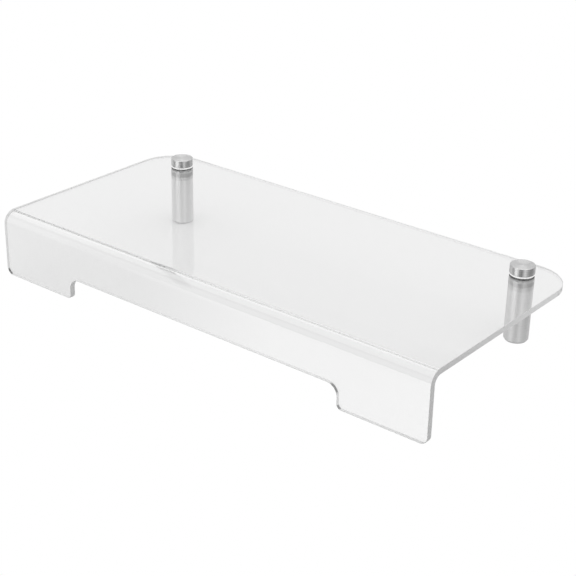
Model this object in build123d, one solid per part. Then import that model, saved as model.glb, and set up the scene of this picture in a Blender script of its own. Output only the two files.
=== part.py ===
"""Monitor riser stand: a bent clear sheet on two rear standoff legs with unscrewing caps.

Frame: origin in the middle of the footprint on the desk, +X to the right, +Y to the rear, +Z up.
Lengths are in millimetres. Each call of save() writes one named piece of the assembly.
"""
import os

from build123d import *

# Driving dimensions of the clear sheet.
DECK_WIDTH = 540.0
DECK_DEPTH = 255.0
DECK_HEIGHT = 71.0
SHEET = 6.0
BEND_INNER_RADIUS = 8.0
REAR_CORNER_RADIUS = 41.0
EDGE_ROUND = 0.5

# Driving dimensions of the cut-out in the front skirt.
FOOT_WIDTH = 98.0
NOTCH_HEIGHT = 23.5
NOTCH_FILLET = 12.0
FOOT_INNER_ROUND = 5.0
FOOT_OUTER_ROUND = 8.0

# Driving dimensions of the standoff legs.
LEG_DIAMETER = 25.0
LEG_FROM_SIDE = 46.0
LEG_FROM_REAR = 28.5
TUBE_WALL = 2.5
TUBE_TOP_CHAMFER = 0.4
TUBE_FOOT_CHAMFER = 0.8
PAD_THICKNESS = 1.5
PAD_INSET = 1.25
PAD_CHAMFER = 0.4
WASHER_THICKNESS = 1.5
WASHER_INSET = 0.25
CAP_HEIGHT = 8.5
CAP_TOP_BEVEL = 0.4
CAP_BOTTOM_BEVEL = 0.4

# Driving dimensions of the M8 joint that clamps the sheet.
THREAD_DIAMETER = 8.0
THREAD_PITCH = 1.25
THREAD_RUNNING_GAP = 0.05
THREAD_ENGAGEMENT = 12.0
THREAD_TURNS = 14
RIDGE_OVERLAP = 0.19
STUD_IN_CAP = 6.0
STUD_CHAMFER = 0.8
STUD_HOLE_DIAMETER = 9.0
INSERT_LENGTH = 16.0
INSERT_GROOVE_DEPTH = 0.6
INSERT_GROOVE_WIDTH = 2.0
PLUG_LENGTH = 12.0
PLUG_CHAMFER = 1.0

# Proportions of the ISO metric thread form, as shares of the pitch.
THREAD_DEPTH_SHARE = 0.6134
THREAD_CREST_SHARE = 1 / 8
THREAD_ROOT_SHARE = 7 / 8

# Sizes that follow from the driving dimensions.
BEND_OUTER_RADIUS = BEND_INNER_RADIUS + SHEET
DECK_UNDERSIDE = DECK_HEIGHT - SHEET
FRONT_Y = -DECK_DEPTH / 2
REAR_Y = DECK_DEPTH / 2
NOTCH_WIDTH = DECK_WIDTH - 2 * FOOT_WIDTH
LEG_X = DECK_WIDTH / 2 - LEG_FROM_SIDE
LEG_Y = REAR_Y - LEG_FROM_REAR
LEG_RADIUS = LEG_DIAMETER / 2
TUBE_BORE_RADIUS = LEG_RADIUS - TUBE_WALL
TUBE_TOP = DECK_UNDERSIDE - WASHER_THICKNESS
CAP_SEAT = DECK_HEIGHT + WASHER_THICKNESS
THREAD_RADIUS = THREAD_DIAMETER / 2
THREAD_DEPTH = THREAD_DEPTH_SHARE * THREAD_PITCH
STUD_BOTTOM = TUBE_TOP - THREAD_ENGAGEMENT
STUD_HOLE_RADIUS = STUD_HOLE_DIAMETER / 2

# Length that surely passes through the sheet on both sides.
CUT_LENGTH = 4 * SHEET

# Slack used when picking edges by where they are.
TINY = 0.01

os.makedirs("parts", exist_ok=True)


def save(name, solid):
    """Write one piece under its node name."""
    solid.label = name
    export_step(solid, f"parts/{name}.step")


def turned(outline):
    """Spin a closed outline of (radius, height) points about the Z axis."""
    with BuildPart() as piece:
        with BuildSketch(Plane.XZ):
            with BuildLine():
                Polyline(*outline, close=True)
            make_face()
        revolve(axis=Axis.Z)
    return piece.part


def side_profile():
    """Section of the sheet across the stand: deck, rounded bend and upright skirt."""
    bend_y = FRONT_Y + BEND_OUTER_RADIUS
    bend_z = DECK_HEIGHT - BEND_OUTER_RADIUS
    with BuildSketch(Plane.YZ) as section:
        with BuildLine():
            Polyline((FRONT_Y + SHEET, bend_z), (FRONT_Y + SHEET, 0), (FRONT_Y, 0), (FRONT_Y, bend_z))
            RadiusArc((FRONT_Y, bend_z), (bend_y, DECK_HEIGHT), BEND_OUTER_RADIUS)
            Polyline((bend_y, DECK_HEIGHT), (REAR_Y, DECK_HEIGHT), (REAR_Y, DECK_UNDERSIDE),
                     (bend_y, DECK_UNDERSIDE))
            RadiusArc((bend_y, DECK_UNDERSIDE), (FRONT_Y + SHEET, bend_z), -BEND_INNER_RADIUS)
        make_face()
    return section.sketch


def corner_edges(solid, axis, x, **place):
    """Edges across the sheet's thickness, parallel to an axis, at +-x and at the given Y or Z."""
    def matches(edge):
        centre = edge.center()
        on_side = abs(abs(centre.X) - x) < TINY
        in_place = all(abs(getattr(centre, name) - value) < TINY for name, value in place.items())
        return on_side and in_place and abs(edge.length - SHEET) < TINY

    return solid.edges().filter_by(axis).filter_by(matches)


def is_broad(face):
    """True for the two faces of the sheet, whether flat or bent, and false for its cut edge."""
    widest_cut_edge = SHEET * DECK_WIDTH
    return face.bounding_box().size.X > DECK_WIDTH / 2 and face.area > widest_cut_edge + TINY


def sharp_rim(solid):
    """Edges where a broad face of the sheet meets the cut edge, all round the outline."""
    broad = [face for face in solid.faces() if is_broad(face)]

    def owners(edge):
        return sum(any(edge.is_same(other) for other in face.edges()) for face in broad)

    return [edge for edge in solid.edges() if owners(edge) == 1]


def deck_panel():
    """The bent sheet with its notch, rounded corners, softened rim and the two stud holes."""
    sheet = extrude(side_profile(), DECK_WIDTH / 2, both=True)
    notch_cut = Box(NOTCH_WIDTH, CUT_LENGTH, 2 * NOTCH_HEIGHT)
    sheet -= Pos(0, FRONT_Y, 0) * notch_cut
    sheet = fillet(corner_edges(sheet, Axis.Z, DECK_WIDTH / 2, Y=REAR_Y), REAR_CORNER_RADIUS)
    sheet = fillet(corner_edges(sheet, Axis.Y, DECK_WIDTH / 2, Z=0), FOOT_OUTER_ROUND)
    sheet = fillet(corner_edges(sheet, Axis.Y, NOTCH_WIDTH / 2, Z=NOTCH_HEIGHT), NOTCH_FILLET)
    sheet = fillet(corner_edges(sheet, Axis.Y, NOTCH_WIDTH / 2, Z=0), FOOT_INNER_ROUND)
    sheet = fillet(sharp_rim(sheet), EDGE_ROUND)
    for x in (-LEG_X, LEG_X):
        sheet -= Pos(x, LEG_Y, DECK_HEIGHT) * Cylinder(STUD_HOLE_RADIUS, CUT_LENGTH)
    return sheet


def leg_tube():
    """Round tube standing on its pad, chamfered at both ends."""
    inner, outer = TUBE_BORE_RADIUS, LEG_RADIUS
    low, high = PAD_THICKNESS, TUBE_TOP
    return turned([
        (inner, low), (outer - TUBE_FOOT_CHAMFER, low), (outer, low + TUBE_FOOT_CHAMFER),
        (outer, high - TUBE_TOP_CHAMFER), (outer - TUBE_TOP_CHAMFER, high), (inner, high),
    ])


def leg_insert():
    """Pressed-in bush that carries the thread, flush with the top of the tube."""
    outer = TUBE_BORE_RADIUS
    bore = THREAD_RADIUS + THREAD_RUNNING_GAP
    lead = THREAD_DEPTH
    low, high = TUBE_TOP - INSERT_LENGTH, TUBE_TOP
    groove_low = (low + high - INSERT_GROOVE_WIDTH) / 2
    groove_high = groove_low + INSERT_GROOVE_WIDTH
    waist = outer - INSERT_GROOVE_DEPTH
    return turned([
        (bore, low), (outer, low), (outer, groove_low), (waist, groove_low), (waist, groove_high),
        (outer, groove_high), (outer, high), (bore + lead, high), (bore, high - lead),
    ])


def leg_plug():
    """Solid plug that closes the foot of the tube and carries the pad."""
    outer, c = TUBE_BORE_RADIUS, PLUG_CHAMFER
    low, high = PAD_THICKNESS, PAD_THICKNESS + PLUG_LENGTH
    return turned([(0, low), (outer, low), (outer, high - c), (outer - c, high), (0, high)])


def foot_pad():
    """Soft disc bonded under the leg."""
    outer = LEG_RADIUS - PAD_INSET
    c = PAD_CHAMFER
    return turned([(0, 0), (outer - c, 0), (outer, c), (outer, PAD_THICKNESS), (0, PAD_THICKNESS)])


def washer(bottom):
    """Clear ring that keeps metal off the sheet."""
    outer = LEG_RADIUS - WASHER_INSET
    high = bottom + WASHER_THICKNESS
    return turned([(STUD_HOLE_RADIUS, bottom), (outer, bottom), (outer, high), (STUD_HOLE_RADIUS, high)])


def cap():
    """Screw cap with a bevelled crown and a blind hole for the stud."""
    low, high = CAP_SEAT, CAP_SEAT + CAP_HEIGHT
    roof = low + STUD_IN_CAP
    r, top_c, low_c = LEG_RADIUS, CAP_TOP_BEVEL, CAP_BOTTOM_BEVEL
    return turned([
        (THREAD_RADIUS, low), (r - low_c, low), (r, low + low_c), (r, high - top_c), (r - top_c, high),
        (0, high), (0, roof), (THREAD_RADIUS, roof),
    ])


def thread_ridge(start, turns):
    """Helical ridge of the right-hand thread, rooted just inside the stud's core."""
    root = THREAD_RADIUS - THREAD_DEPTH
    crest_half = THREAD_CREST_SHARE * THREAD_PITCH / 2
    root_half = THREAD_ROOT_SHARE * THREAD_PITCH / 2
    sunk = root - RIDGE_OVERLAP
    path = Helix(THREAD_PITCH, THREAD_PITCH * turns, root)
    with BuildSketch(Plane.XZ) as tooth:
        with BuildLine():
            Polyline((sunk, -root_half), (root, -root_half), (THREAD_RADIUS, -crest_half),
                     (THREAD_RADIUS, crest_half), (root, root_half), (sunk, root_half), close=True)
        make_face()
    return Pos(0, 0, start) * sweep(tooth.sketch, path=path, is_frenet=True)


def cap_stud():
    """Threaded stud: plain shank in the cap, thread from the cap down into the bush."""
    root = THREAD_RADIUS - THREAD_DEPTH
    shank_top = CAP_SEAT + STUD_IN_CAP
    core = turned([
        (0, STUD_BOTTOM), (root - STUD_CHAMFER, STUD_BOTTOM), (root, STUD_BOTTOM + STUD_CHAMFER),
        (root, CAP_SEAT), (THREAD_RADIUS, CAP_SEAT), (THREAD_RADIUS, shank_top), (0, shank_top),
    ])
    return core + thread_ridge(STUD_BOTTOM + THREAD_PITCH, THREAD_TURNS)


save("deck_panel", deck_panel())
for side, x in (("left", -LEG_X), ("right", LEG_X)):
    place = Pos(x, LEG_Y, 0)
    save(f"{side}_leg_tube", place * leg_tube())
    save(f"{side}_leg_insert", place * leg_insert())
    save(f"{side}_leg_plug", place * leg_plug())
    save(f"{side}_foot_pad", place * foot_pad())
    save(f"{side}_lower_washer", place * washer(TUBE_TOP))
    save(f"{side}_upper_washer", place * washer(DECK_HEIGHT))
    save(f"{side}_cap", place * cap())
    save(f"{side}_cap_stud", place * cap_stud())
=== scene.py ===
"""Studio scene of a clear monitor riser on two metal standoff legs with screw caps."""
import math

import bmesh
import bpy
from mathutils import Matrix, Vector


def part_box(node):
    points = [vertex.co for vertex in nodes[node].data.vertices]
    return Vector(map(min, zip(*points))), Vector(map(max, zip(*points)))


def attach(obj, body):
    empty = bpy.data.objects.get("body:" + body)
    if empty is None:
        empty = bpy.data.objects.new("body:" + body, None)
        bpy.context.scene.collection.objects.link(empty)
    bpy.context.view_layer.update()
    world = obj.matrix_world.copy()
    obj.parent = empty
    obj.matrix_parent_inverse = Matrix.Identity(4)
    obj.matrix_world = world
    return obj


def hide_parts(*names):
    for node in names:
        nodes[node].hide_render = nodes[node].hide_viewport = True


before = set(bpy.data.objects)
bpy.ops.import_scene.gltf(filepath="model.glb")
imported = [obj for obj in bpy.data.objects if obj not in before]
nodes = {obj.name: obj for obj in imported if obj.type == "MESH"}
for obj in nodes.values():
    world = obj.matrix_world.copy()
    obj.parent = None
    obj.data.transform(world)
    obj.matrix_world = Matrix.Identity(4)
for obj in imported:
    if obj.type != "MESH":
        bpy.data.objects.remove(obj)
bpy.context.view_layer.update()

# Limits of the sheet and places of the legs, read from the frame.
CAP_LOW, CAP_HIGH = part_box("right_cap")
DECK_LOW, DECK_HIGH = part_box("deck_panel")
LEG_X = (CAP_LOW.x + CAP_HIGH.x) / 2
LEG_Y = (CAP_LOW.y + CAP_HIGH.y) / 2
HALF_WIDTH = DECK_HIGH.x
FRONT_Y, REAR_Y = DECK_LOW.y, DECK_HIGH.y
DECK_TOP = DECK_HIGH.z

# Shape of the clear sheet between those limits, as in the CAD model, in metres.
SHEET = 0.006
BEND_RADIUS = 0.014
REAR_CORNER = 0.041
EDGE_ROUND = 0.0005
FOOT_WIDTH = 0.098
NOTCH_HEIGHT = 0.0235
NOTCH_FILLET = 0.012
FOOT_INNER_ROUND = 0.005
FOOT_OUTER_ROUND = 0.008
STUD_HOLE_RADIUS = 0.0045

# A film of air keeps the sheet off its washers, so that light is reflected inside it over the whole face.
AIR_FILM = 0.00001

# Length of the unbent sheet, measured along its middle in the bend.
BEND_LENGTH = (BEND_RADIUS - SHEET / 2) * math.pi / 2
FLAT_LENGTH = DECK_TOP - BEND_RADIUS + BEND_LENGTH + REAR_Y - FRONT_Y - BEND_RADIUS

# Fineness of the sheet's mesh: steps in a corner, in a rounded edge and in the bend.
ARC_STEPS = 14
ROUND_STEPS = 4
BEND_STEPS = 40

# Camera: where it stands in metres, how it is turned in degrees, and its lens in millimetres.
CAMERA_PLACE = Vector((0.81694, -1.01569, 0.63845))
CAMERA_AZIMUTH = 38.356
CAMERA_ELEVATION = 25.337
CAMERA_ROLL = 1.203
CAMERA_LENS = 87.94

# Clear sheet: polishing haze, tint per surface for light that passes straight through, grey of its body.
ACRYLIC_IOR = 1.49
HAZE_SCALE = 35.0
HAZE_RANGE = (0.4, 0.7)
HAZE_ROUGHNESS = 0.004
CLEAR_TINT = (0.97, 0.97, 0.97, 1.0)
BODY_COLOUR = (0.70, 0.71, 0.71, 1.0)
BODY_DENSITY = 0.6

# Cut edges of the sheet: share of light they scatter, how much of that shines through, and their saw marks.
EDGE_SCATTER = 0.97
EDGE_GLOW = 0.3
EDGE_MARK_SCALE = 500.0
EDGE_ROUGHNESS = (0.25, 0.4)

# Painted light and shade of a cut edge met from outside and from inside the sheet: in front, at the right,
# at the rear. The greys stand in for light that shines through the edges and for the darker surroundings
# they reflect.
EDGE_OUTSIDE = 0.52
EDGE_OUTSIDE_REAR = 0.75
EDGE_INSIDE = 0.87
EDGE_INSIDE_RIGHT = 0.61
EDGE_INSIDE_REAR = 1.0

# Painted shade on the cut edges: lean to the left and down at which the painted shade starts and is full,
# and painted dark flecks where the right side has just begun to turn into the rear corner.
CORNER_DARKNESS = 0.75
CORNER_LEAN = (0.2, 0.4)
FLECK_SCALE = 160.0
FLECK_RANGE = (0.45, 0.6)
FLECK_TURN = (0.02, 0.1)
FLECK_SIDEWAYS = 0.93

# Turned metal: fine rings and how far they wander round the axis, and how they stretch reflections upright.
RING_SCALE = 9000.0
RING_WANDER = 0.6
RING_DEPTH = 0.00002
RING_RANGE = (0.3, 0.7)
RING_UNEVENNESS = 0.2
STRETCH = 0.7
STRETCH_TURN = 0.25

# Washers: painted shade of their flat faces seen directly, for the shadowed metal under the clear plastic,
# and how much lighter they are painted to reflected rays.
WASHER_FACE_PAINTED_SHADE = 0.03
WASHER_FACE_ADDED = 0.8
WASHER_GRAIN_SCALE = 600.0
WASHER_ROUGHNESS = (0.3, 0.5)

# Hidden hardware, plugs and pads: how dark the mottling gets, strength and depth of the grain.
MOTTLE_LEVEL = 0.8
GRAIN_STRENGTH = 0.3
GRAIN_DEPTH = 0.00005

# Floor, lamp and the number of bounces for which light is followed along inside the sheet.
FLOOR_HALF_SIDE = 12.0
FLOOR_DROP = 0.0002
FLOOR_GREY = 0.8
FLOOR_GLOSS = 0.12
FLOOR_ROUGHNESS = 0.03
LAMP_HEIGHT = 2.2
LAMP_SIZE = (2.5, 2.0)
LAMP_POWER = 4.0
LIGHT_BOUNCES = 200

# Brightness of the surroundings by sine of elevation: in reflections, and as seen through the sheet. Rays
# mirrored twice meet one dark level instead, like the unlit room behind the camera.
ROOM_LEVELS = [(0.0, 0.9), (0.46, 0.95), (0.49, 0.35), (0.61, 0.35), (0.66, 1.5), (1.0, 1.5)]
TENT_LEVELS = [(0.0, 0.85), (0.3, 0.95), (0.6, 1.0), (1.0, 1.0)]
BEHIND_CAMERA = 0.12

# Brightness of a round studio wall, seen mirrored, by compass share: 0 behind, 0.25 left, 0.5 front and
# 0.75 right. No wall is built: the table emits it to mirrored rays as a painted reflection. Dark strips
# between light ones give the round metal upright bands from all sides.
WALL_BANDS = [
    (0.0, 0.15), (0.03, 0.75), (0.08, 0.80), (0.105, 0.15), (0.14, 0.10), (0.17, 0.70), (0.20, 0.50),
    (0.25, 0.60), (0.31, 0.45), (0.36, 0.10), (0.38, 0.20), (0.41, 0.80), (0.47, 0.95), (0.505, 0.95),
    (0.53, 0.30), (0.57, 0.12), (0.585, 0.04), (0.61, 0.04), (0.63, 0.30), (0.66, 0.80), (0.69, 0.80),
    (0.72, 0.35), (0.80, 0.12), (0.86, 0.15), (0.92, 0.45), (0.96, 0.45), (1.0, 0.15),
]
WALL_DISTANCE = 1.4

# Strength of the wall for rays that meet the table in front of the skirt: from the left, and straight ahead
# and from the right, with the compass shares between which it falls. Then its strength behind the skirt.
WALL_FRONT = 3.3
WALL_RIGHT = 1.1
WALL_RIGHT_FROM = (0.45, 0.5)
WALL_REAR = 1.9

# Close to a leg the table evens out what the metal shows with a painted glow: added glow, share of the wall
# left, and reach.
NEAR_GLOW = 0.5
NEAR_SHARE = 0.45
NEAR_REACH = (0.08, 0.15)

WHITE = (1.0, 1.0, 1.0, 1.0)


def grey_colour(level):
    """Opaque grey of one brightness."""
    return (level, level, level, 1.0)


def feed(tree, socket, value):
    """Give one input socket a link or a plain value."""
    if isinstance(value, bpy.types.NodeSocket):
        tree.links.new(value, socket)
    else:
        socket.default_value = value


def add(tree, kind, links=None, **settings):
    """Add a node, set its properties and feed its inputs from values or other sockets."""
    node = tree.nodes.new(kind)
    for name, value in settings.items():
        setattr(node, name, value)
    for name, value in (links or {}).items():
        feed(tree, node.inputs[name], value)
    return node


def math_of(tree, operation, *values):
    """Output of a Math node on the given values."""
    node = add(tree, "ShaderNodeMath", operation=operation)
    for socket, value in zip(node.inputs, values):
        feed(tree, socket, value)
    return node.outputs["Value"]


def product(tree, *values):
    """All values multiplied together."""
    result = values[0]
    for value in values[1:]:
        result = math_of(tree, "MULTIPLY", result, value)
    return result


def span(tree, value, start, end, low=0.0, high=1.0):
    """Value carried over from start..end to low..high and held at both ends."""
    links = {"Value": value, "From Min": start, "From Max": end, "To Min": low, "To Max": high}
    return add(tree, "ShaderNodeMapRange", links).outputs["Result"]


def ramp(tree, factor, stops):
    """Grey level read from a list of (position, level) stops."""
    node = add(tree, "ShaderNodeValToRGB", {"Fac": factor})
    band = node.color_ramp
    while len(band.elements) < len(stops):
        band.elements.new(0.5)
    for element, (position, level) in zip(band.elements, stops):
        element.position = position
        element.color = grey_colour(level)
    return node.outputs["Color"]


def noise(tree, place, scale, detail):
    """Soft random pattern in space, around 0.5."""
    links = {"Vector": place, "Scale": scale, "Detail": detail}
    return add(tree, "ShaderNodeTexNoise", links).outputs["Fac"]


def even_grey(tree, level):
    """Grey colour from a computed level."""
    return add(tree, "ShaderNodeCombineXYZ", {axis: level for axis in "XYZ"}).outputs["Vector"]


def own_place(tree):
    """Place of the shaded point in the object's frame, which is the frame of the whole stand, in metres."""
    return add(tree, "ShaderNodeTexCoord").outputs["Object"]


def axes_of(tree, vector):
    """X, Y and Z outputs of a vector."""
    return add(tree, "ShaderNodeSeparateXYZ", {"Vector": vector}).outputs


def scaled(tree, vector, factor):
    """Vector multiplied by a number."""
    node = add(tree, "ShaderNodeVectorMath", {"Vector": vector, "Scale": factor}, operation="SCALE")
    return node.outputs["Vector"]


def surface_of(tree):
    """Outputs of the geometry node: position, normal, side that was hit."""
    return add(tree, "ShaderNodeNewGeometry").outputs


def path_of(tree):
    """Outputs of the light path node: kind of ray and its history."""
    return add(tree, "ShaderNodeLightPath").outputs


def mix_shaders(tree, share, first, second):
    """Shader that is first where share is 0 and second where it is 1."""
    node = add(tree, "ShaderNodeMixShader")
    feed(tree, node.inputs[0], share)
    feed(tree, node.inputs[1], first)
    feed(tree, node.inputs[2], second)
    return node.outputs["Shader"]


def shader(tree, kind, **links):
    """Output of a BSDF node that has only a colour and a few numbers."""
    return add(tree, kind, links).outputs["BSDF"]


def new_material(name):
    """Empty node material and its output node."""
    material = bpy.data.materials.new(name)
    material.use_nodes = True
    material.node_tree.nodes.clear()
    output = material.node_tree.nodes.new("ShaderNodeOutputMaterial")
    return material, material.node_tree, output


def dress(material, names):
    """Put a material on CAD nodes."""
    for name in names:
        mesh = nodes[name].data
        mesh.materials.clear()
        mesh.materials.append(material)


def both(name):
    """Left and right node names of a leg piece."""
    return f"left_{name}", f"right_{name}"


def is_mirrored(tree):
    """1 for rays that come straight from a reflection, 0 for all others."""
    path = path_of(tree)
    return product(tree, path["Is Glossy Ray"], path["Is Reflection Ray"])


def reflected_less_than(tree, times):
    """1 for rays that have met fewer reflections than the given number."""
    return math_of(tree, "LESS_THAN", path_of(tree)["Glossy Depth"], times - 0.5)


def passes_sheet(tree):
    """1 for rays that go straight through the sheet: lamp and matt rays, and mirrored ones from outside."""
    path = path_of(tree)
    outside = math_of(tree, "SUBTRACT", 1.0, surface_of(tree)["Backfacing"])
    already_passed = math_of(tree, "GREATER_THAN", path["Transparent Depth"], 0.5)
    passed = math_of(tree, "MAXIMUM", outside, already_passed)
    mirrored = product(tree, is_mirrored(tree), passed)
    lamp_side = math_of(tree, "MAXIMUM", path["Is Shadow Ray"], path["Is Diffuse Ray"])
    return math_of(tree, "MAXIMUM", lamp_side, mirrored)


def acrylic(name):
    """Clear sheet: refracts for the camera and is smooth but for faint polishing haze."""
    material, tree, output = new_material(name)
    haze = noise(tree, own_place(tree), HAZE_SCALE, 3.0)
    rough = span(tree, haze, *HAZE_RANGE, 0.0, HAZE_ROUGHNESS)
    glass = shader(tree, "ShaderNodeBsdfGlass", Color=WHITE, Roughness=rough, IOR=ACRYLIC_IOR)
    clear = shader(tree, "ShaderNodeBsdfTransparent", Color=CLEAR_TINT)
    tree.links.new(mix_shaders(tree, passes_sheet(tree), glass, clear), output.inputs["Surface"])
    absorb = add(tree, "ShaderNodeVolumeAbsorption", {"Color": BODY_COLOUR, "Density": BODY_DENSITY})
    tree.links.new(absorb.outputs["Volume"], output.inputs["Volume"])
    return material


def corner_shade(tree):
    """Share of light left on a cut edge, painted shade: less where it faces left and down, with painted
    dark flecks at the right rear.
    """
    surface = surface_of(tree)
    outwards = math_of(tree, "SUBTRACT", 1.0, product(tree, surface["Backfacing"], 2.0))
    side = axes_of(tree, scaled(tree, surface["Normal"], outwards))
    left_down = product(tree, side["X"], side["Z"], math_of(tree, "LESS_THAN", side["X"], 0.0))
    under = span(tree, left_down, *CORNER_LEAN)
    painted_fleck = span(tree, noise(tree, own_place(tree), FLECK_SCALE, 2.0), *FLECK_RANGE)
    turning = span(tree, side["Y"], *FLECK_TURN)
    still_sideways = math_of(tree, "GREATER_THAN", side["X"], FLECK_SIDEWAYS)
    behind = product(tree, turning, still_sideways, painted_fleck)
    shade = product(tree, math_of(tree, "MAXIMUM", under, behind), CORNER_DARKNESS)
    return math_of(tree, "SUBTRACT", 1.0, shade)


def edge_painted_light(tree):
    """Painted light and shade of a cut edge: paler from inside than from outside, paler at the rear than in
    front.
    """
    place = axes_of(tree, own_place(tree))
    inside_front = span(tree, place["X"], 0.0, HALF_WIDTH, EDGE_INSIDE, EDGE_INSIDE_RIGHT)
    outside = span(tree, place["Y"], FRONT_Y, REAR_Y, EDGE_OUTSIDE, EDGE_OUTSIDE_REAR)
    inside = span(tree, place["Y"], FRONT_Y, REAR_Y, inside_front, EDGE_INSIDE_REAR)
    is_inside = surface_of(tree)["Backfacing"]
    level = add(tree, "ShaderNodeMix", {"Factor": is_inside, "A": outside, "B": inside}).outputs["Result"]
    return product(tree, level, corner_shade(tree))


def sawn_edge(name):
    """Cut edge of the sheet: fine saw marks scatter most of the light, a little is refracted."""
    material, tree, output = new_material(name)
    marks = noise(tree, own_place(tree), EDGE_MARK_SCALE, 3.0)
    rough = span(tree, marks, 0.0, 1.0, *EDGE_ROUGHNESS)
    # The edge's grey is painted light and shade, not the colour of the acrylic.
    grey = even_grey(tree, edge_painted_light(tree))
    glass = shader(tree, "ShaderNodeBsdfGlass", Color=WHITE, Roughness=rough, IOR=ACRYLIC_IOR)
    matt = shader(tree, "ShaderNodeBsdfDiffuse", Color=grey)
    glow = shader(tree, "ShaderNodeBsdfTranslucent", Color=grey)
    edge = mix_shaders(tree, EDGE_SCATTER, glass, mix_shaders(tree, EDGE_GLOW, matt, glow))
    clear = shader(tree, "ShaderNodeBsdfTransparent", Color=CLEAR_TINT)
    tree.links.new(mix_shaders(tree, passes_sheet(tree), edge, clear), output.inputs["Surface"])
    return material


def clear_washer(name, rim_painted_grey, glow):
    """Clear plastic ring: painted light on its rim, gathered from the sheet; painted shade on its faces,
    dark against the metal.
    """
    material, tree, output = new_material(name)
    grain = noise(tree, own_place(tree), WASHER_GRAIN_SCALE, 2.0)
    rough = span(tree, grain, 0.0, 1.0, *WASHER_ROUGHNESS)
    # Flat faces get a painted shade, near black to direct rays, and a paler painted grey to reflected rays.
    upright = math_of(tree, "ABSOLUTE", axes_of(tree, surface_of(tree)["Normal"])["Z"])
    is_face = math_of(tree, "GREATER_THAN", upright, 0.5)
    reflected = math_of(tree, "GREATER_THAN", path_of(tree)["Glossy Depth"], 0.5)
    face_level = math_of(tree, "MULTIPLY_ADD", reflected, WASHER_FACE_ADDED, WASHER_FACE_PAINTED_SHADE)
    # The rim's grey and its emission glow are painted light: bright and glowing on the upper washer,
    # painted in shade on the lower one.
    rim = add(tree, "ShaderNodeBsdfPrincipled", {
        "Base Color": grey_colour(rim_painted_grey), "Roughness": rough,
        "Emission Color": WHITE, "Emission Strength": glow})
    face = add(tree, "ShaderNodeBsdfPrincipled", {
        "Base Color": even_grey(tree, face_level), "Roughness": rough})
    ring = mix_shaders(tree, is_face, rim.outputs["BSDF"], face.outputs["BSDF"])
    tree.links.new(ring, output.inputs["Surface"])
    return material


def leg_polar(tree):
    """Distance from the nearer leg's axis, angle round it and height of the shaded point."""
    place = axes_of(tree, own_place(tree))
    across = math_of(tree, "SUBTRACT", math_of(tree, "ABSOLUTE", place["X"]), LEG_X)
    along = math_of(tree, "SUBTRACT", place["Y"], LEG_Y)
    squares = math_of(tree, "ADD", product(tree, across, across), product(tree, along, along))
    radius = math_of(tree, "SQRT", squares)
    angle = math_of(tree, "ARCTAN2", along, across)
    return radius, angle, place["Z"]


def turned_metal(name, grey, painted_shade_side_share, roughness, haze_roughness, haze_share, grain):
    """Stainless steel turned on a lathe: fine rings smear reflections, with a rougher haze mixed in."""
    material, tree, output = new_material(name)
    radius, angle, height = leg_polar(tree)
    rings = add(tree, "ShaderNodeCombineXYZ", {
        "X": product(tree, radius, RING_SCALE), "Y": product(tree, height, RING_SCALE),
        "Z": product(tree, angle, RING_WANDER)})
    pattern = noise(tree, rings.outputs["Vector"], 1.0, 2.0)
    bump = add(tree, "ShaderNodeBump", {"Height": pattern, "Strength": grain, "Distance": RING_DEPTH})
    tangent = add(tree, "ShaderNodeTangent", direction_type="RADIAL", axis="Z")
    upright = math_of(tree, "ABSOLUTE", axes_of(tree, surface_of(tree)["Normal"])["Z"])
    # The upright sides are painted darker than the flat top by the side share: painted shade on the caps
    # (0.87), while the barrels keep their full grey.
    colour = even_grey(tree, span(tree, upright, 0.0, 1.0, grey * painted_shade_side_share, grey))
    lobes = []
    for spread in (roughness, haze_roughness):
        least, most = spread * (1 - RING_UNEVENNESS), spread * (1 + RING_UNEVENNESS)
        rough = span(tree, pattern, *RING_RANGE, least, most)
        lobe = add(tree, "ShaderNodeBsdfPrincipled", {
            "Base Color": colour, "Metallic": 1.0, "Roughness": rough,
            "Anisotropic": STRETCH, "Anisotropic Rotation": STRETCH_TURN,
            "Tangent": tangent.outputs["Tangent"], "Normal": bump.outputs["Normal"]})
        lobes.append(lobe.outputs["BSDF"])
    tree.links.new(mix_shaders(tree, haze_share, *lobes), output.inputs["Surface"])
    return material


def plain_part(name, colour, roughness, metallic, grain_scale):
    """Hidden hardware, plug and pad: slight mottling and a fine grain."""
    material, tree, output = new_material(name)
    grain = noise(tree, own_place(tree), grain_scale, 4.0)
    darker = tuple(MOTTLE_LEVEL * c for c in colour[:3]) + (1.0,)
    mottled = add(tree, "ShaderNodeMix", data_type="RGBA")
    feed(tree, mottled.inputs[0], grain)
    feed(tree, mottled.inputs[6], darker)
    feed(tree, mottled.inputs[7], colour)
    bump = add(tree, "ShaderNodeBump", {
        "Height": grain, "Strength": GRAIN_STRENGTH, "Distance": GRAIN_DEPTH})
    body = add(tree, "ShaderNodeBsdfPrincipled", {
        "Base Color": mottled.outputs[2], "Metallic": metallic, "Roughness": roughness,
        "Normal": bump.outputs["Normal"]})
    tree.links.new(body.outputs["BSDF"], output.inputs["Surface"])
    return material


def wall_share(tree, place, direction):
    """Compass share of the point where a ray from a place on the table meets the studio wall."""
    reach = scaled(tree, direction, WALL_DISTANCE)
    meets = add(tree, "ShaderNodeVectorMath", {0: place, 1: reach}, operation="ADD")
    wall = axes_of(tree, meets.outputs["Vector"])
    turn = math_of(tree, "ARCTAN2", wall["X"], product(tree, wall["Y"], -1.0))
    return math_of(tree, "ADD", math_of(tree, "DIVIDE", turn, 2 * math.pi), 0.5)


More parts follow.
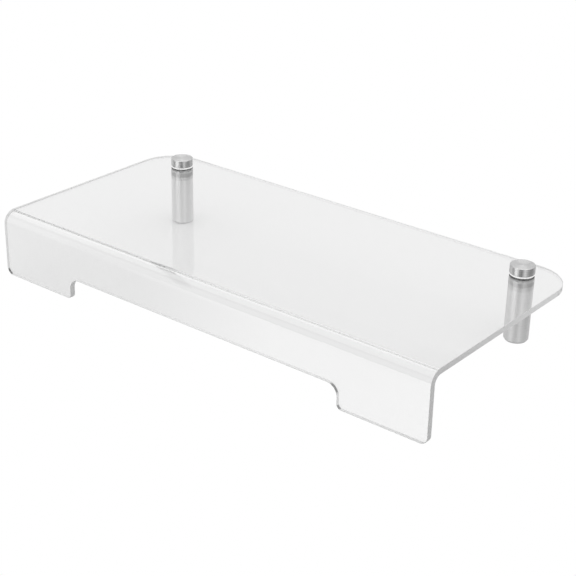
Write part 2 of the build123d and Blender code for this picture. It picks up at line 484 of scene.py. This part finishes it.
def painted_wall_reflection(tree):
    """Painted reflection: light that a mirrored ray gets where it meets the table, the studio wall emitted
    there, evened out by a painted glow close to the legs.
    """
    surface = surface_of(tree)
    share = wall_share(tree, surface["Position"], scaled(tree, surface["Incoming"], -1.0))
    front = span(tree, share, *WALL_RIGHT_FROM, WALL_FRONT, WALL_RIGHT)
    table_y = axes_of(tree, surface["Position"])["Y"]
    strength = span(tree, table_y, FRONT_Y, FRONT_Y / 2, front, WALL_REAR)
    wall = product(tree, ramp(tree, share, WALL_BANDS), strength)
    beside_leg = math_of(tree, "MULTIPLY_ADD", wall, NEAR_SHARE, NEAR_GLOW)
    away = span(tree, leg_polar(tree)[0], *NEAR_REACH)
    shine = add(tree, "ShaderNodeMix", {"Factor": away, "A": beside_leg, "B": wall}).outputs["Result"]
    return add(tree, "ShaderNodeEmission", {"Color": WHITE, "Strength": shine}).outputs["Emission"]


def floor_material():
    """White to the camera, a studio wall painted as emission for reflections, pale grey lacquer to all
    else.
    """
    material, tree, output = new_material("floor_white")
    paper = add(tree, "ShaderNodeEmission", {"Color": WHITE, "Strength": 1.0}).outputs["Emission"]
    matt = shader(tree, "ShaderNodeBsdfDiffuse", Color=grey_colour(FLOOR_GREY))
    gloss = shader(tree, "ShaderNodeBsdfGlossy", Color=WHITE, Roughness=FLOOR_ROUGHNESS)
    lacquer = mix_shaders(tree, FLOOR_GLOSS, matt, gloss)
    sees_wall = product(tree, is_mirrored(tree), reflected_less_than(tree, 3))
    shown = mix_shaders(tree, sees_wall, lacquer, painted_wall_reflection(tree))
    shown = mix_shaders(tree, path_of(tree)["Is Camera Ray"], shown, paper)
    tree.links.new(shown, output.inputs["Surface"])
    return material


def studio_floor():
    """Plain floor that shows as paper white and lies pale grey under the clear sheet."""
    side = FLOOR_HALF_SIDE
    mesh = bpy.data.meshes.new("floor")
    corners = [(-side, -side, 0), (side, -side, 0), (side, side, 0), (-side, side, 0)]
    mesh.from_pydata(corners, [], [(0, 1, 2, 3)])
    mesh.materials.append(floor_material())
    floor = bpy.data.objects.new("floor", mesh)
    floor.location.z = -FLOOR_DROP
    bpy.context.scene.collection.objects.link(floor)


def studio_world():
    """White to the camera, a soft grey room in reflections, an even white tent seen through the sheet."""
    world = bpy.data.worlds.new("studio")
    bpy.context.scene.world = world
    world.use_nodes = True
    tree = world.node_tree
    tree.nodes.clear()
    output = tree.nodes.new("ShaderNodeOutputWorld")
    direction = add(tree, "ShaderNodeTexCoord").outputs["Generated"]
    height = axes_of(tree, direction)["Z"]
    backgrounds = []
    for colour in (ramp(tree, height, ROOM_LEVELS), ramp(tree, height, TENT_LEVELS), WHITE,
                   grey_colour(BEHIND_CAMERA)):
        node = add(tree, "ShaderNodeBackground", {"Color": colour, "Strength": 1.0})
        backgrounds.append(node.outputs["Background"])
    room, tent, paper, dark = backgrounds
    path = path_of(tree)
    mirrored = is_mirrored(tree)
    stayed_outside = math_of(tree, "LESS_THAN", path["Transmission Depth"], 0.5)
    shown = mix_shaders(tree, product(tree, mirrored, stayed_outside), tent, room)
    at_least_twice = math_of(tree, "GREATER_THAN", path["Glossy Depth"], 1.5)
    twice = product(tree, mirrored, at_least_twice, reflected_less_than(tree, 3))
    shown = mix_shaders(tree, twice, shown, dark)
    shown = mix_shaders(tree, path["Is Camera Ray"], shown, paper)
    tree.links.new(shown, output.inputs["Surface"])


def overhead_lamp():
    """Rectangular area lamp straight above the stand, lighting matt surfaces only."""
    lamp = bpy.data.lights.new("overhead", "AREA")
    lamp.shape = "RECTANGLE"
    lamp.size, lamp.size_y = LAMP_SIZE
    lamp.energy = LAMP_POWER
    holder = bpy.data.objects.new("overhead", lamp)
    holder.location = (0.0, 0.0, LAMP_HEIGHT)
    holder.rotation_euler = Vector((0.0, 0.0, -LAMP_HEIGHT)).to_track_quat("-Z", "Y").to_euler()
    holder.visible_glossy = False
    holder.visible_transmission = False
    bpy.context.scene.collection.objects.link(holder)


def studio_camera():
    """Camera at its place, turned to its azimuth and elevation, with its slight roll."""
    azimuth, elevation, roll = (math.radians(a) for a in (CAMERA_AZIMUTH, CAMERA_ELEVATION, CAMERA_ROLL))
    back = Vector((math.sin(azimuth) * math.cos(elevation), -math.cos(azimuth) * math.cos(elevation),
                   math.sin(elevation)))
    right = Vector((math.cos(azimuth), math.sin(azimuth), 0.0))
    up = back.cross(right)
    tilted_right = math.cos(roll) * right + math.sin(roll) * up
    tilted_up = math.cos(roll) * up - math.sin(roll) * right
    camera = bpy.data.objects.new("studio_camera", bpy.data.cameras.new("studio_camera"))
    camera.data.lens = CAMERA_LENS
    turn = Matrix((tilted_right, tilted_up, back)).transposed()
    camera.matrix_world = Matrix.Translation(CAMERA_PLACE) @ turn.to_4x4()
    bpy.context.scene.collection.objects.link(camera)
    bpy.context.scene.camera = camera


def sheet_outline(inset):
    """Outline of the flat, unbent sheet as (across, along) points, drawn in by an inset."""
    half_notch = HALF_WIDTH - FOOT_WIDTH
    corners = [
        (-HALF_WIDTH, 0.0, FOOT_OUTER_ROUND), (-half_notch, 0.0, FOOT_INNER_ROUND),
        (-half_notch, NOTCH_HEIGHT, NOTCH_FILLET), (half_notch, NOTCH_HEIGHT, NOTCH_FILLET),
        (half_notch, 0.0, FOOT_INNER_ROUND), (HALF_WIDTH, 0.0, FOOT_OUTER_ROUND),
        (HALF_WIDTH, FLAT_LENGTH, REAR_CORNER), (-HALF_WIDTH, FLAT_LENGTH, REAR_CORNER),
    ]
    points = []
    for i, (x, y, radius) in enumerate(corners):
        corner = Vector((x, y))
        arriving = (corner - Vector(corners[i - 1][:2])).normalized()
        leaving = (Vector(corners[(i + 1) % len(corners)][:2]) - corner).normalized()
        bulge = 1 if arriving.cross(leaving) > 0 else -1
        centre = corner + radius * (leaving - arriving)
        for step in range(ARC_STEPS + 1):
            angle = step / ARC_STEPS * math.pi / 2
            arm = math.sin(angle) * arriving - math.cos(angle) * leaving
            points.append(centre + (radius - bulge * inset) * arm)
    return points


def hole_outline(x):
    """Circle of a stud hole in the flat sheet, as (across, along) points."""
    along = FLAT_LENGTH - (REAR_Y - LEG_Y)
    steps = 4 * ARC_STEPS
    angles = [step / steps * 2 * math.pi for step in range(steps)]
    return [(x + STUD_HOLE_RADIUS * math.cos(a), along + STUD_HOLE_RADIUS * math.sin(a)) for a in angles]


def rim_levels():
    """(inset, depth) of each loop round the sheet, from outer to inner face, with a round edge at both."""
    angles = [step / ROUND_STEPS * math.pi / 2 for step in range(ROUND_STEPS + 1)]
    outer = [(EDGE_ROUND * (1 - math.sin(a)), EDGE_ROUND * (1 - math.cos(a))) for a in angles]
    inner = [(inset, SHEET - depth) for inset, depth in reversed(outer)]
    return outer + inner


def bend_point(across, along, depth):
    """Place in space of a point of the flat sheet, depth metres under its outer face."""
    top = DECK_TOP - AIR_FILM
    centre_y, centre_z = FRONT_Y + BEND_RADIUS, top - BEND_RADIUS
    if along <= centre_z:
        return Vector((across, FRONT_Y + depth, along))
    if along >= centre_z + BEND_LENGTH:
        return Vector((across, centre_y + along - centre_z - BEND_LENGTH, top - depth))
    angle = (along - centre_z) / BEND_LENGTH * math.pi / 2
    radius = BEND_RADIUS - depth
    return Vector((across, centre_y - radius * math.cos(angle), centre_z + radius * math.sin(angle)))


def ring_of(bm, points, depth):
    """Closed loop of vertices at one depth, with its edges."""
    verts = [bm.verts.new((p[0], p[1], depth)) for p in points]
    edges = [bm.edges.new((verts[i - 1], verts[i])) for i in range(len(verts))]
    return verts, edges


def wall_between(bm, lower, upper):
    """Band of quads between two loops of equal length, with the second material: cut edge."""
    for i in range(len(lower)):
        face = bm.faces.new((lower[i - 1], lower[i], upper[i], upper[i - 1]))
        face.material_index = 1


def flat_sheet(bm):
    """The sheet before bending: rounded rim, stud holes and both faces filled."""
    rings = [ring_of(bm, sheet_outline(inset), depth) for inset, depth in rim_levels()]
    for (lower, _), (upper, _) in zip(rings, rings[1:]):
        wall_between(bm, lower, upper)
    outer_edges = list(rings[0][1])
    inner_edges = list(rings[-1][1])
    for x in (-LEG_X, LEG_X):
        outer_circle, circle_edges = ring_of(bm, hole_outline(x), 0.0)
        outer_edges += circle_edges
        inner_circle, circle_edges = ring_of(bm, hole_outline(x), SHEET)
        inner_edges += circle_edges
        wall_between(bm, outer_circle, inner_circle)
    for edges in (outer_edges, inner_edges):
        bmesh.ops.triangle_fill(bm, edges=edges, use_beauty=True)


def score_and_bend(bm):
    """Cut the flat sheet into fine strips at the bend and move every point to its place in space."""
    start = DECK_TOP - AIR_FILM - BEND_RADIUS
    for step in range(BEND_STEPS + 1):
        cut = Vector((0.0, start + step / BEND_STEPS * BEND_LENGTH, 0.0))
        everything = list(bm.verts) + list(bm.edges) + list(bm.faces)
        bmesh.ops.bisect_plane(bm, geom=everything, plane_co=cut, plane_no=(0.0, 1.0, 0.0))
    for vert in bm.verts:
        vert.co = bend_point(*vert.co)
    bmesh.ops.recalc_face_normals(bm, faces=list(bm.faces))
    if bm.calc_volume(signed=True) < 0:
        bmesh.ops.reverse_faces(bm, faces=list(bm.faces))


def bent_sheet():
    """The clear sheet, finely stepped at the bend, smooth but for the border of faces and cut edges."""
    bm = bmesh.new()
    flat_sheet(bm)
    score_and_bend(bm)
    for face in bm.faces:
        face.smooth = True
    for edge in bm.edges:
        edge.smooth = len({face.material_index for face in edge.link_faces}) == 1
    mesh = bpy.data.meshes.new("bent_sheet")
    bm.to_mesh(mesh)
    bm.free()
    mesh.materials.append(acrylic("clear_acrylic"))
    mesh.materials.append(sawn_edge("acrylic_edge"))
    sheet = bpy.data.objects.new("bent_sheet", mesh)
    bpy.context.scene.collection.objects.link(sheet)
    normals = sheet.modifiers.new("even_normals", "WEIGHTED_NORMAL")
    normals.mode = "FACE_AREA"
    normals.weight = 100
    normals.keep_sharp = True
    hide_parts("deck_panel")
    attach(sheet, "stand")


def legs():
    """Materials of the washers, barrels, caps and hidden hardware of both legs."""
    # Two copies of one clear washer: the upper one painted lit and glowing, the lower one painted in shade.
    dress(clear_washer("washer_painted_glow", rim_painted_grey=0.9, glow=0.15), both("upper_washer"))
    dress(clear_washer("washer_painted_shade", rim_painted_grey=0.4, glow=0.0), both("lower_washer"))
    dress(turned_metal("barrel_satin", grey=0.74, painted_shade_side_share=1.0, roughness=0.3, haze_roughness=0.75,
                       haze_share=0.8, grain=0.3), both("leg_tube"))
    dress(turned_metal("cap_polished", grey=0.66, painted_shade_side_share=0.87, roughness=0.28, haze_roughness=0.6,
                       haze_share=0.5, grain=0.15), both("cap"))
    dress(plain_part("stud_steel", grey_colour(0.55), roughness=0.35, metallic=1.0, grain_scale=900.0),
          both("cap_stud"))
    dress(plain_part("bush_brass", (0.75, 0.6, 0.32, 1.0), roughness=0.35, metallic=1.0, grain_scale=900.0),
          both("leg_insert"))
    dress(plain_part("plug_plastic", grey_colour(0.05), roughness=0.5, metallic=0.0, grain_scale=1500.0),
          both("leg_plug"))
    dress(plain_part("pad_rubber", grey_colour(0.6), roughness=0.6, metallic=0.0, grain_scale=2500.0),
          both("foot_pad"))


def light_settings():
    """Plain colours, and enough bounces for light that runs along inside the sheet."""
    scene = bpy.context.scene
    scene.view_settings.view_transform = "Standard"
    scene.cycles.max_bounces = LIGHT_BOUNCES
    scene.cycles.transmission_bounces = LIGHT_BOUNCES
    scene.cycles.glossy_bounces = LIGHT_BOUNCES
    scene.cycles.transparent_max_bounces = LIGHT_BOUNCES


bent_sheet()
legs()
studio_floor()
studio_world()
overhead_lamp()
studio_camera()
light_settings()
